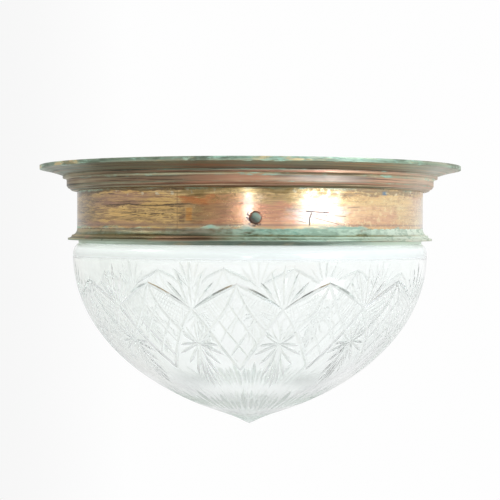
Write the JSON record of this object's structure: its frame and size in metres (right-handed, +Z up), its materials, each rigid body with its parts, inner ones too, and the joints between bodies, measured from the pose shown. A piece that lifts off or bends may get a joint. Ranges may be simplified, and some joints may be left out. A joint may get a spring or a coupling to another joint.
{
  "type": "ceiling lamp",
  "caption": "Flush ceiling lamp: a stepped spun brass gallery with thumbscrews that hold a pointed cut glass bowl over side-facing lampholders.",
  "frame": {"origin": "centre of the ceiling plane, on the lamp axis, in the middle of the ceiling screws", "axes": "+Z up into the ceiling, -Y to the front, where the first thumbscrew is, +X to the right seen from the front"},
  "size_m": [0.3599, 0.36, 0.2219],
  "materials": {
    "plate_steel": "dull zinc-plated steel",
    "grommet_rubber": "matt black rubber",
    "cornice_brass": "old brass with copper-pink bands and green-grey patina",
    "band_brass": "worn brass, golden with red-copper clouds and fine level scratches",
    "moulding_brass": "brass under pale verdigris",
    "collar_brass": "dark green-grey tarnished brass",
    "ferrule_brass": "brown tarnished brass",
    "thumbscrew_brass": "tarnished brass, grey-green face and red-brown rim",
    "inner_brass": "plain brass",
    "holder_brass": "lacquered brass",
    "screw_steel": "bright steel",
    "block_ceramic": "unglazed white ceramic",
    "insert_ceramic": "unglazed white ceramic",
    "bulb_cap_metal": "dull aluminium",
    "bulb_glass": "frosted glass",
    "bulb_stem_glass": "clear glass",
    "lead_cover": "brown sleeved lead",
    "cut_glass": "clear cut glass with bright mitre cuts"
  },
  "bodies": {
    "gallery": {"ceiling_plate": "plate_steel", "cable_grommet": "grommet_rubber", "cornice": "cornice_brass", "gallery_band": "band_brass", "base_moulding": "moulding_brass", "inner_collar": "collar_brass", "screw_ferrules": "ferrule_brass", "gallery_lugs": "inner_brass", "lug_screws": "screw_steel", "earth_screw": "inner_brass", "terminal_block": "block_ceramic", "terminal_screws": "inner_brass", "block_screw": "screw_steel", "bracket_screws": "screw_steel", "right_bracket": "plate_steel", "right_nipple": "inner_brass", "right_nipple_nuts": "inner_brass", "right_holder_cap": "holder_brass", "right_holder_sleeve": "holder_brass", "right_holder_insert": "insert_ceramic", "right_holder_shell": "inner_brass", "right_centre_contact": "inner_brass", "right_bulb_cap": "bulb_cap_metal", "right_bulb_glass": "bulb_glass", "right_bulb_filament": "bulb_stem_glass", "right_leads": "lead_cover", "left_bracket": "plate_steel", "left_nipple": "inner_brass", "left_nipple_nuts": "inner_brass", "left_holder_cap": "holder_brass", "left_holder_sleeve": "holder_brass", "left_holder_insert": "insert_ceramic", "left_holder_shell": "inner_brass", "left_centre_contact": "inner_brass", "left_bulb_cap": "bulb_cap_metal", "left_bulb_glass": "bulb_glass", "left_bulb_filament": "bulb_stem_glass", "left_leads": "lead_cover"},
    "thumbscrew_1_shank_body": {"thumbscrew_1_shank": "thumbscrew_brass"},
    "thumbscrew_1_head_body": {"thumbscrew_1_head": "thumbscrew_brass"},
    "thumbscrew_2_shank_body": {"thumbscrew_2_shank": "thumbscrew_brass"},
    "thumbscrew_2_head_body": {"thumbscrew_2_head": "thumbscrew_brass"},
    "thumbscrew_3_shank_body": {"thumbscrew_3_shank": "thumbscrew_brass"},
    "thumbscrew_3_head_body": {"thumbscrew_3_head": "thumbscrew_brass"},
    "glass_body": {"glass_bowl": "cut_glass"}
  },
  "joints": [
    {"name": "thumbscrew_1_travel", "type": "slide", "parent": "gallery", "child": "thumbscrew_1_shank_body", "axis": [0, -1, 0], "range_m": [0, 0.006]},
    {"name": "thumbscrew_1_turn", "type": "hinge", "parent": "thumbscrew_1_shank_body", "child": "thumbscrew_1_head_body", "pos_m": [0, -0.1535, -0.0443], "axis": [0, 1, 0], "range_deg": [-2700, 0]},
    {"name": "thumbscrew_2_travel", "type": "slide", "parent": "gallery", "child": "thumbscrew_2_shank_body", "axis": [0.866, 0.5, 0], "range_m": [0, 0.006]},
    {"name": "thumbscrew_2_turn", "type": "hinge", "parent": "thumbscrew_2_shank_body", "child": "thumbscrew_2_head_body", "pos_m": [0.13293, 0.07675, -0.0443], "axis": [-0.866, -0.5, 0], "range_deg": [-2700, 0]},
    {"name": "thumbscrew_3_travel", "type": "slide", "parent": "gallery", "child": "thumbscrew_3_shank_body", "axis": [-0.866, 0.5, 0], "range_m": [0, 0.006]},
    {"name": "thumbscrew_3_turn", "type": "hinge", "parent": "thumbscrew_3_shank_body", "child": "thumbscrew_3_head_body", "pos_m": [-0.13293, 0.07675, -0.0443], "axis": [0.866, -0.5, 0], "range_deg": [-2700, 0]},
    {"name": "bowl_turn", "type": "hinge", "parent": "gallery", "child": "glass_body", "pos_m": [0, 0, -0.0417], "axis": [0, 0, 1], "continuous": true}
  ],
  "couplings": [
    {"joint": "thumbscrew_1_turn", "follows": "thumbscrew_1_travel", "rad_per_m": -7854},
    {"joint": "thumbscrew_2_turn", "follows": "thumbscrew_2_travel", "rad_per_m": -7854},
    {"joint": "thumbscrew_3_turn", "follows": "thumbscrew_3_travel", "rad_per_m": -7854}
  ]
}
